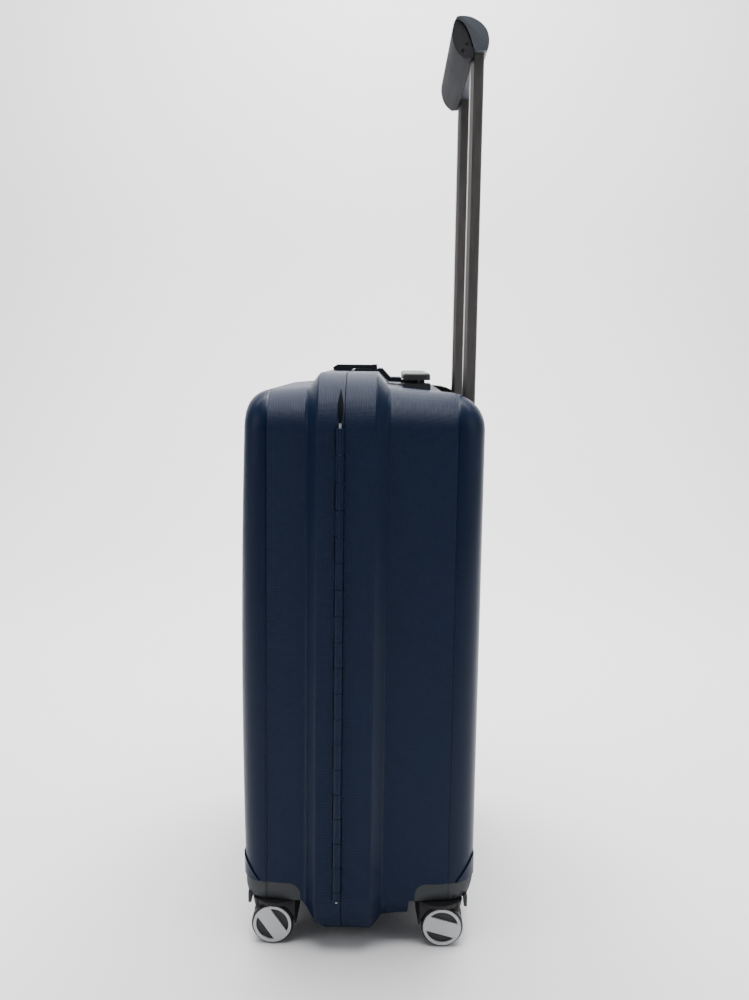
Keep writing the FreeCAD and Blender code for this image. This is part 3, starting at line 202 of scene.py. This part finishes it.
def weave_height(g, u, v, pitch):
    """Crossing diagonal ridges, 0 to 1, that read as a fine diamond emboss."""
    k = math.pi / pitch
    a = g.math("SINE", g.math("MULTIPLY", g.math("ADD", u, v), k))
    b = g.math("SINE", g.math("MULTIPLY", g.math("SUBTRACT", u, v), k))
    return g.math("ADD", g.math("MULTIPLY", g.math("MULTIPLY", a, b), 0.5), 0.5)


# ---------------------------------------------------------------- materials
def shell_material():
    """Navy polypropylene: a fine embossed weave between the grooves, with a painted highlight on its raised
    ridges; smooth satin bands outside them.
    """
    g = Graph("navy_shell")
    x, y, z = g.xyz()
    facing = g.math("ABSOLUTE", g.xyz(g.normal)[1])
    from_middle_x = g.math("ABSOLUTE", x)
    from_middle_z = g.math("ABSOLUTE", g.math("SUBTRACT", z, CASE_MID_Z))
    wrap = g.math("SUBTRACT", from_middle_z, from_middle_x)
    side_weave = weave_height(g, y, wrap, WEAVE_PITCH)
    panel_weave = weave_height(g, x, z, WEAVE_PITCH)
    on_panel = g.step(facing, 0.7, 0.8)
    height = g.math("ADD", g.math("MULTIPLY", side_weave, g.math("SUBTRACT", 1.0, on_panel)),
                    g.math("MULTIPLY", panel_weave, on_panel))
    fade_start, fade_end = EMBOSS_FADE
    between = g.step(g.math("ABSOLUTE", y), GROOVE_Y - fade_start, GROOVE_Y - fade_end, 1.0, 0.0)
    upright = g.step(facing, 0.16, 0.3, 1.0, 0.0)
    inside_x = g.step(from_middle_x, PANEL_HALF_WIDTH - PANEL_FADE, PANEL_HALF_WIDTH + PANEL_FADE, 1.0, 0.0)
    inside_z = g.step(from_middle_z, PANEL_HALF_HEIGHT - PANEL_FADE, PANEL_HALF_HEIGHT + PANEL_FADE, 1.0, 0.0)
    panel = g.math("MULTIPLY", g.math("MULTIPLY", on_panel, PANEL_EMBOSS),
                   g.math("MULTIPLY", inside_x, inside_z))
    amount = g.math("MAXIMUM", g.math("MULTIPLY", between, upright), panel)
    wear = g.noise(9, 4, roughness=0.6)
    grain = g.noise(900, 2)
    rough = g.math("ADD", g.step(wear, 0.3, 0.75, 0.3, 0.38),
                   g.math("MULTIPLY", amount, 0.07))
    colour = g.mix(wear, (0.0032, 0.0086, 0.0255), (0.0042, 0.0108, 0.0305))
    # painted highlight: where the weave stands up, its colour is lifted to a lighter navy, as if catching
    # light
    painted_ridge_highlight = g.math("MULTIPLY", amount, g.math("MULTIPLY", height, 0.65))
    colour = g.mix(painted_ridge_highlight, colour, (0.0074, 0.0175, 0.046))
    grained = g.bump(grain, 0.00005, 0.35)
    return g.set(base_color=colour, roughness=rough, normal=g.bump(height, WEAVE_DEPTH, amount, grained),
                 specular_ior_level=0.12)


def moulded(name, dark, light, rough=(0.45, 0.6), grain=1400, depth=0.00006, specular=0.25, ior=1.5):
    """Grained moulding with a little unevenness in colour and gloss."""
    g = Graph(name)
    cloud = g.noise(14, 4, roughness=0.6)
    fine = g.noise(grain, 3, roughness=0.65)
    return g.set(base_color=g.mix(cloud, dark, light), roughness=g.step(cloud, 0.3, 0.7, *rough),
                 normal=g.bump(fine, depth, 0.8), specular_ior_level=specular, ior=ior)


def anodised(name, dark, light, along, rough=(0.28, 0.42)):
    """Drawn metal: grain runs along one axis."""
    g = Graph(name)
    stretch = tuple(0.02 if axis == along else 1.0 for axis in "XYZ")
    lines = g.noise(1600, 2, stretch)
    cloud = g.noise(6, 3)
    uneven = g.math("ADD", g.math("MULTIPLY", lines, 0.7), g.math("MULTIPLY", cloud, 0.3))
    return g.set(base_color=g.mix(uneven, dark, light), metallic=1.0,
                 roughness=g.step(lines, 0.3, 0.7, *rough), normal=g.bump(lines, 0.00004, 0.5))


def tyre_material():
    """Soft polyurethane with a fine matt grain."""
    g = Graph("wheel_black")
    fine = g.noise(1100, 3)
    return g.set(base_color=g.mix(fine, (0.009, 0.009, 0.01), (0.016, 0.016, 0.018)),
                 roughness=g.step(fine, 0.3, 0.7, 0.5, 0.66), normal=g.bump(fine, 0.00008, 0.7))


def cloth(name, dark, light, pitch, depth, sheen):
    """Plain weave over the surface, whichever way it faces, with painted shade in the weave's hollows and
    random tone from a cloud.
    """
    g = Graph(name)
    x, y, z = g.xyz()
    facing_x, facing_y = g.xyz(g.normal)[:2]
    k = math.pi / pitch
    waves = [g.math("ABSOLUTE", g.math("SINE", g.math("MULTIPLY", c, k))) for c in (x, y, z)]
    side = g.step(g.math("ABSOLUTE", facing_x), 0.5, 0.7)
    face = g.step(g.math("ABSOLUTE", facing_y), 0.5, 0.7)
    across = g.math("MULTIPLY", waves[0], waves[2])
    along = g.math("MULTIPLY", waves[1], waves[2])
    flat = g.math("MULTIPLY", waves[0], waves[1])
    height = g.math("ADD", g.math("MULTIPLY", across, face), g.math("MULTIPLY", along, side))
    rest = g.math("SUBTRACT", 1.0, g.math("MINIMUM", 1.0, g.math("ADD", face, side)))
    height = g.math("ADD", height, g.math("MULTIPLY", flat, rest))
    cloud = g.noise(11, 4)
    # painted shade: the colour follows the weave's height, darker in its hollows and lighter on its crests,
    # with random tone from the cloud
    colour = g.mix(g.math("MULTIPLY", height, g.math("ADD", 0.5, cloud)), dark, light)
    return g.set(base_color=colour, roughness=g.step(cloud, 0.3, 0.7, 0.72, 0.86),
                 normal=g.bump(height, depth, 0.9), sheen_weight=sheen, sheen_roughness=0.5)


MATERIALS = {
    "navy_shell": shell_material(),
    "grey_shoe": moulded("grey_shoe", (0.028, 0.031, 0.034), (0.036, 0.039, 0.042), (0.5, 0.62),
                         grain=1500, depth=0.00008),
    "black_plastic": moulded("black_plastic", (0.006, 0.006, 0.007), (0.010, 0.010, 0.011)),
    "grip_grey": moulded("grip_grey", (0.062, 0.07, 0.083), (0.074, 0.083, 0.097), (0.34, 0.46)),
    "handle_grey": moulded("handle_grey", (0.042, 0.044, 0.044), (0.052, 0.054, 0.054), (0.38, 0.5)),
    "latch_dark": moulded("latch_dark", (0.014, 0.016, 0.02), (0.02, 0.022, 0.027), (0.3, 0.42)),
    "gunmetal_tube": anodised("gunmetal_tube", (0.15, 0.142, 0.136), (0.25, 0.238, 0.228), "Z"),
    # a dull rubber, which stays dark where it is seen at a flat angle
    "grip_dark": moulded("grip_dark", (0.03, 0.03, 0.033), (0.042, 0.042, 0.045), (0.62, 0.75),
                         grain=1300, depth=0.00009, ior=1.15),
    "guide_metal": anodised("guide_metal", (0.42, 0.42, 0.43), (0.58, 0.58, 0.59), "Z"),
    "bright_steel": anodised("bright_steel", (0.42, 0.42, 0.43), (0.6, 0.6, 0.61), "X"),
    "cap_silver": moulded("cap_silver", (0.5, 0.5, 0.515), (0.58, 0.58, 0.595), (0.28, 0.38),
                          grain=1800, depth=0.00003),
    # painted shade: a near-black, barely reflecting finish for the sheet that stands in for the hollow above
    # the hinge
    "painted_mouth_shade": moulded("painted_mouth_shade", (0.003, 0.004, 0.006), (0.005, 0.006, 0.009), (0.6, 0.8),
                           specular=0.04),
    "cap_recess": moulded("cap_recess", (0.008, 0.008, 0.009), (0.014, 0.014, 0.015), (0.5, 0.6)),
    "wheel_black": tyre_material(),
    "seal_black": moulded("seal_black", (0.008, 0.008, 0.008), (0.014, 0.014, 0.014), (0.6, 0.75),
                          specular=0.12),
    # for the cloth, the first colour is the weave's hollows in painted shade and the second its crests
    "lining_grey": cloth("lining_grey", (0.036, 0.04, 0.048), (0.1, 0.108, 0.125),
                         pitch=0.0011, depth=0.0002, sheen=0.2),
    "strap_grey": cloth("strap_grey", (0.006, 0.0065, 0.008), (0.024, 0.026, 0.031),
                        pitch=0.0014, depth=0.0004, sheen=0.1),
}


def dress_nodes():
    """Every carried-over node takes the material of its slot."""
    slots = {row["node"]: row["material_slot"] for row in frame["record"]["subparts"]}
    for name, obj in NODES.items():
        obj.data.materials.clear()
        obj.data.materials.append(MATERIALS[slots[name]])


def darken_cap_recesses():
    """The sunk segments of each hub cap are black; its bar and rim stay silver."""
    for name, obj in NODES.items():
        if not name.startswith("hub_cap"):
            continue
        low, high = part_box(name)
        obj.data.materials.append(MATERIALS["cap_recess"])
        outward = 1.0 if ("outer" in name) == ("hinge_side" in name) else -1.0
        face_x = high.x if outward > 0 else low.x
        middle = (low + high) / 2
        for polygon in obj.data.polygons:
            sunk = (face_x - polygon.center.x) * outward
            radius = math.hypot(polygon.center.y - middle.y, polygon.center.z - middle.z)
            if sunk > CAP_SINK and radius < CAP_RECESS_RADIUS and polygon.normal.x * outward > 0.7:
                polygon.material_index = 1


def smooth(obj, angle=32.0):
    """Rounded faces shade smoothly and real edges stay crisp."""
    obj.data.shade_smooth()
    obj.data.set_sharp_from_angle(angle=math.radians(angle))


# ---------------------------------------------------------------- mesh helpers
def place(name, data):
    """Puts an object with this data into the scene."""
    obj = bpy.data.objects.new(name, data)
    bpy.context.scene.collection.objects.link(obj)
    return obj


def place_mesh(name, bm):
    """Turns the working mesh into an object."""
    mesh = bpy.data.meshes.new(name)
    bm.normal_update()
    bm.to_mesh(mesh)
    bm.free()
    return place(name, mesh)


def add_object(name, bm, material, body):
    """Turns the working mesh into an object of the part, riding on a body."""
    obj = place_mesh(name, bm)
    obj.data.materials.append(MATERIALS[material])
    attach(obj, body)
    return obj


def skin(bm, rings):
    """Joins rings of equal count into a closed solid with flat ends."""
    count = len(rings[0])
    for a, b in zip(rings, rings[1:]):
        for k in range(count):
            bm.faces.new((a[k], a[(k + 1) % count], b[(k + 1) % count], b[k]))
    bm.faces.new(rings[0][::-1])
    bm.faces.new(rings[-1])


def apply_modifiers(obj):
    """Bakes the modifiers into the mesh."""
    evaluated = obj.evaluated_get(bpy.context.evaluated_depsgraph_get())
    mesh = bpy.data.meshes.new_from_object(evaluated)
    obj.modifiers.clear()
    obj.data = mesh


def rounded(points, steps=6):
    """A closed Catmull-Rom curve through (u, v) points."""
    curve = []
    count = len(points)
    for i in range(count):
        p = [Vector(points[(i + k) % count]) for k in (-1, 0, 1, 2)]
        for j in range(steps):
            t = j / steps
            curve.append(0.5 * (2 * p[1] + (p[2] - p[0]) * t + (2 * p[0] - 5 * p[1] + 4 * p[2] - p[3]) * t * t
                                + (3 * p[1] - p[0] - 3 * p[2] + p[3]) * t ** 3))
    return curve


def bar_along_x(outline, half, spans=24):
    """A closed bar: an outline in (y, z) carried from -half to half."""
    bm = bmesh.new()
    rings = []
    for i in range(spans + 1):
        x = -half + 2 * half * i / spans
        rings.append([bm.verts.new((x, p.x, p.y)) for p in outline])
    skin(bm, rings)
    bmesh.ops.recalc_face_normals(bm, faces=bm.faces[:])
    return bm


def soften_edges(obj, width, segments=3, angle=50.0):
    """Rounds the real edges of a piece and shades it smoothly."""
    bevel = obj.modifiers.new("edges", "BEVEL")
    bevel.width, bevel.segments = width, segments
    bevel.limit_method, bevel.angle_limit = "ANGLE", math.radians(angle)
    apply_modifiers(obj)
    smooth(obj, 40)


def carve(obj, cutter):
    """Takes the cutter's shape out of the piece."""
    tool = obj.modifiers.new("carve", "BOOLEAN")
    tool.operation, tool.solver, tool.object = "DIFFERENCE", "EXACT", cutter
    apply_modifiers(obj)
    bpy.data.objects.remove(cutter)


# ---------------------------------------------------------------- pull handle
# end view of the grip: millimetres from the tubes' centre line and above the grip's lowest point
COVER = [(-4.2, 9.4), (3, 8.6), (9.6, 8.7), (11.6, 15), (11.4, 23), (8.6, 31.5), (1.2, 39.2), (-8.5, 44.2),
         (-17, 45.7), (-24, 45.4), (-26.6, 43.2), (-22.5, 41.4), (-16.6, 37), (-10.8, 26.5), (-6.8, 15.5)]
PAD = [(-4.9, 8.6), (-7.2, 1.2), (-11.5, 0.2), (-16.4, 0.7), (-24.8, 8.6), (-29.6, 20.5), (-30.2, 32),
       (-28.3, 40.4), (-26.4, 42.4), (-22.9, 40.7), (-17.3, 36.2), (-11.6, 25.9), (-7.6, 15.1)]


def build_grip():
    """A light cover over the top and back, and a dark pad under the fingers."""
    low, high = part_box("grip_body")
    tubes_low, tubes_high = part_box("sliding_tubes")
    middle_y = (tubes_low.y + tubes_high.y) / 2

    def shaped(name, points, half, material):
        outline = rounded([(middle_y + y / 1000, low.z + z / 1000) for y, z in points])
        piece = add_object(name, bar_along_x(outline, half), material, "trolley")
        soften_edges(piece, GRIP_EDGE)
        return piece

    cover = shaped("grip_cover", COVER, high.x, "grip_grey")
    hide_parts("grip_body")
    open_button_slot(cover)
    pad = shaped("grip_pad", PAD, high.x - PAD_INSET, "grip_dark")
    sink_end_screws(pad, high.x - PAD_INSET, middle_y, low.z)


def open_button_slot(cover):
    """Cuts the hole that the button stands in."""
    low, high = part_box("grip_button")
    at = Matrix.Translation((0, low.y + BUTTON_STEM_DEPTH / 2, high.z - BUTTON_SLOT_DROP))
    bm = bmesh.new()
    bmesh.ops.create_cube(bm, size=1.0, matrix=at @ Matrix.Diagonal((*BUTTON_SLOT, 1.0)))
    carve(cover, place_mesh("block", bm))
    smooth(cover, 40)


def sink_end_screws(pad, end_x, middle_y, low_z):
    """Two dished screw holes in each end of the pad."""
    for sign in (-1, 1):
        for y, z in END_SCREWS:
            at = Matrix.Translation((sign * end_x, middle_y + y, low_z + z))
            bm = bmesh.new()
            bmesh.ops.create_uvsphere(bm, u_segments=24, v_segments=12, radius=1.0)
            bmesh.ops.transform(bm, matrix=at @ Matrix.Diagonal((*SCREW_DISH, 1.0)), verts=bm.verts)
            carve(pad, place_mesh("dish", bm))
    smooth(pad, 40)


def build_button_spring():
    """The coil under the button, carried over onto the trolley."""
    bm = bmesh.new()
    bm.from_mesh(NODES["button_spring"].data)
    coil = add_object("button_coil", bm, "bright_steel", "trolley")
    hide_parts("button_spring")
    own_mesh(coil)
    smooth(coil, 60)


# ---------------------------------------------------------------- lining and straps
def cut_up(bm, spacing):
    """Cuts every face on a regular grid, so that it can be shaped."""
    for axis in range(3):
        values = [v.co[axis] for v in bm.verts]
        low, high = min(values), max(values)
        count = max(1, int((high - low) / spacing))
        normal = [0.0, 0.0, 0.0]
        normal[axis] = 1.0
        for i in range(1, count):
            at = [0.0, 0.0, 0.0]
            at[axis] = low + (high - low) * i / count + GRID_SHIFT
            everything = bm.verts[:] + bm.edges[:] + bm.faces[:]
            bmesh.ops.bisect_plane(bm, geom=everything, plane_co=at, plane_no=normal)


def folds(p, seed):
    """0 to 1: soft folds that run mostly up and down, with finer creases across them."""
    broad = noise.noise(Vector((p.x * 17 + seed, p.y * 12, p.z * 6)))
    fine = 1.0 - abs(noise.noise(Vector((p.x * 30 + p.z * 9, p.y * 22 + seed, p.z * 24 - p.x * 8))))
    return max(0.0, 0.5 + 0.8 * broad) * 0.7 + fine ** 4 * 0.5


def build_lining(side, body, seed):
    """Thin cloth over the CAD tray: the same sheet, with folds that only ever move it inwards."""
    node = f"{side}_lining"
    low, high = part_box(node)
    mouth = high.y if side == "front" else low.y
    middle = Vector(((low.x + high.x) / 2, mouth, (low.z + high.z) / 2))
    half = Vector(((high.x - low.x) / 2, high.y - low.y, (high.z - low.z) / 2))
    bm = bmesh.new()
    bm.from_mesh(NODES[node].data)
    bmesh.ops.remove_doubles(bm, verts=bm.verts[:], dist=1e-5)
    cut_up(bm, LINING_GRID)
    for vert in bm.verts:
        p = vert.co
        # the inward direction of a box with rounded corners, by how near the point is to each wall
        u = Vector([(p[k] - middle[k]) / half[k] for k in range(3)])
        inward = Vector([-(abs(u[k]) ** 5) * math.copysign(1, u[k]) / half[k] for k in range(3)])
        if inward.length < 1e-6:
            continue
        loose = min(1.0, max(0.0, (abs(p.y - mouth) - LINING_LIP) / LINING_LIP_FADE))
        vert.co = p + inward.normalized() * FOLD_DEPTH * loose * folds(p, seed)
    lining = add_object(f"{side}_cloth_lining", bm, "lining_grey", body)
    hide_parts(node)
    smooth(lining, 60)


def webbing(bm, start, end, width, across):
    """A flat band from start to end, with rolled edges and sewn ends."""
    along = end - start
    out = along.cross(across).normalized()
    section = [(-0.5, -0.5), (-0.47, -0.9), (0.47, -0.9), (0.5, -0.5),
               (0.5, 0.5), (0.47, 0.9), (-0.47, 0.9), (-0.5, 0.5)]
    rings = []
    for i in range(STRAP_SPANS + 1):
        t = i / STRAP_SPANS
        centre = start + along * t
        half_thick = STRAP_THICK * 0.5 * (STRAP_SEW_THICK if min(t, 1 - t) < STRAP_SEW else 1.0)
        rings.append([bm.verts.new(centre + across * a * width + out * b * half_thick) for a, b in section])
    skin(bm, rings)


def build_straps():
    """Webbing: crossed bands over the front half, two upright bands over the rear half."""
    low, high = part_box("front_packing_straps")
    middle = (low + high) / 2
    short_x, short_z = FRONT_STRAP_ENDS
    reach = Vector((high.x - middle.x - short_x, 0, high.z - middle.z - short_z))
    bm = bmesh.new()
    for sx in (-1, 1):
        for sz in (-1, 1):
            along = Vector((sx * reach.x, 0, sz * reach.z))
            across = along.normalized().cross(Vector((0, 1, 0)))
            webbing(bm, middle + along * BUCKLE_SHARE, middle + along, FRONT_STRAP_WIDTH, across)
    bmesh.ops.recalc_face_normals(bm, faces=bm.faces[:])
    crossed = add_object("front_webbing", bm, "strap_grey", "front_case")
    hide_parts("front_packing_straps")
    smooth(crossed, 50)
    low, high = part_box("rear_packing_straps")
    bm = bmesh.new()
    y = (low.y + high.y) / 2
    for x in (low.x + REAR_STRAP_IN, high.x - REAR_STRAP_IN):
        bottom = Vector((x, y, low.z + REAR_STRAP_END))
        top = Vector((x, y, high.z - REAR_STRAP_END))
        webbing(bm, bottom, top, REAR_STRAP_WIDTH, Vector((1, 0, 0)))
    bmesh.ops.recalc_face_normals(bm, faces=bm.faces[:])
    upright = add_object("rear_webbing", bm, "strap_grey", "rear_case")
    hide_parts("rear_packing_straps")
    smooth(upright, 50)


# ---------------------------------------------------------------- hinge
def build_hinge_shade_sheet():
    """A thin dark sheet on the front shell's lip, above the last knuckle of the hinge: painted shade for a
    leaf-shaped hollow.
    """
    pin_low, pin_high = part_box("hinge_pin")
    shell_low, shell_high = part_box("front_shell")
    middle_y = (pin_low.y + pin_high.y) / 2 + MOUTH_SHIFT
    centre_x, centre_z = -shell_low.x - RIDGE_CORNER, shell_high.z - RIDGE_CORNER
    bm = bmesh.new()
    rings = []
    for i in range(MOUTH_SPANS + 1):
        t = i / MOUTH_SPANS
        angle = MOUTH_START + (MOUTH_END - MOUTH_START) * t
        half = MOUTH_HALF * max(0.04, math.sin(math.pi * t ** 0.8))
        ring = []
        for out, side in MOUTH_SECTION:
            reach = RIDGE_CORNER + out
            ring.append(bm.verts.new((centre_x + reach * math.cos(angle), middle_y + side * half,
                                      centre_z + reach * math.sin(angle))))
        rings.append(ring)
    skin(bm, rings)
    bmesh.ops.recalc_face_normals(bm, faces=bm.faces[:])
    mouth = add_object("hinge_mouth_shade", bm, "painted_mouth_shade", "front_case")
    smooth(mouth, 50)


# ---------------------------------------------------------------- stage
def build_stage():
    """A pale floor that sweeps up into a backdrop behind the case."""
    g = Graph("pale_floor")
    cloud = g.noise(2.5, 3)
    floor_material = g.set(base_color=g.mix(cloud, (0.80, 0.80, 0.81), (0.83, 0.83, 0.84)), roughness=0.75)
    bm = bmesh.new()
    profile = [(FLOOR_FRONT, 0.0), (FLOOR_BACK, 0.0)]
    for i in range(1, SWEEP_STEPS + 1):
        turn = math.pi / 2 * i / SWEEP_STEPS
        profile.append((FLOOR_BACK - SWEEP_RADIUS * math.sin(turn), SWEEP_RADIUS * (1 - math.cos(turn))))
    profile.append((FLOOR_BACK - SWEEP_RADIUS, BACKDROP_TOP))
    sides = (-FLOOR_HALF_WIDTH, FLOOR_HALF_WIDTH)
    rows = [[bm.verts.new((x, side, z)) for side in sides] for x, z in profile]
    for a, b in zip(rows, rows[1:]):
        bm.faces.new((a[0], a[1], b[1], b[0]))
    floor = place_mesh("floor", bm)
    floor.data.shade_smooth()
    floor.data.materials.append(floor_material)


def area_light(name, at, target, size, watts):
    """A rectangular lamp that points at the target."""
    data = bpy.data.lights.new(name, "AREA")
    data.shape = "RECTANGLE"
    data.size, data.size_y = size
    data.energy = watts
    lamp = place(name, data)
    lamp.location = at
    lamp.rotation_euler = (Vector(target) - Vector(at)).to_track_quat("-Z", "Y").to_euler()


def build_light():
    """A soft light overhead, weak fills at either side, and two that even out the floor and backdrop."""
    world = bpy.data.worlds.new("studio")
    world.use_nodes = True
    back = world.node_tree.nodes["Background"]
    back.inputs["Color"].default_value = (0.93, 0.95, 1.0, 1.0)
    back.inputs["Strength"].default_value = WORLD_STRENGTH
    bpy.context.scene.world = world
    area_light("overhead", at=(-0.05, 0.0, 2.4), target=(0.0, 0.0, 0.5), size=(1.6, 2.0), watts=85)
    area_light("floor_wash", at=(-1.4, 0.0, 2.6), target=(-1.7, 0.0, 0.0), size=(1.6, 4.0), watts=90)
    area_light("front_fill", at=(1.0, -2.2, 1.2), target=(0, 0, 0.4), size=(1.2, 1.6), watts=12)
    area_light("rear_fill", at=(0.6, 2.2, 1.2), target=(0, 0, 0.4), size=(1.2, 1.6), watts=10)
    area_light("backdrop", at=(-1.0, 0, 3.0), target=(-2.6, 0, 0.9), size=(5.0, 1.5), watts=170)


def build_camera():
    """Looks at the hinge side from a little above it."""
    data = bpy.data.cameras.new("camera")
    data.lens = LENS
    data.sensor_width = SENSOR_WIDTH
    data.clip_end = 50
    camera = place("camera", data)
    camera.location = CAMERA_AT
    aim = Euler((math.radians(90 + CAMERA_PITCH), 0, math.radians(CAMERA_YAW))).to_matrix()
    camera.rotation_euler = (aim @ Matrix.Rotation(math.radians(CAMERA_ROLL), 3, "Z")).to_euler()
    bpy.context.scene.camera = camera


def main():
    dress_nodes()
    darken_cap_recesses()
    for obj in NODES.values():
        smooth(obj)
    build_grip()
    build_button_spring()
    build_lining("front", "front_case", seed=3.1)
    build_lining("rear", "rear_case", seed=8.7)
    build_straps()
    build_hinge_shade_sheet()
    build_stage()
    build_light()
    build_camera()


main()
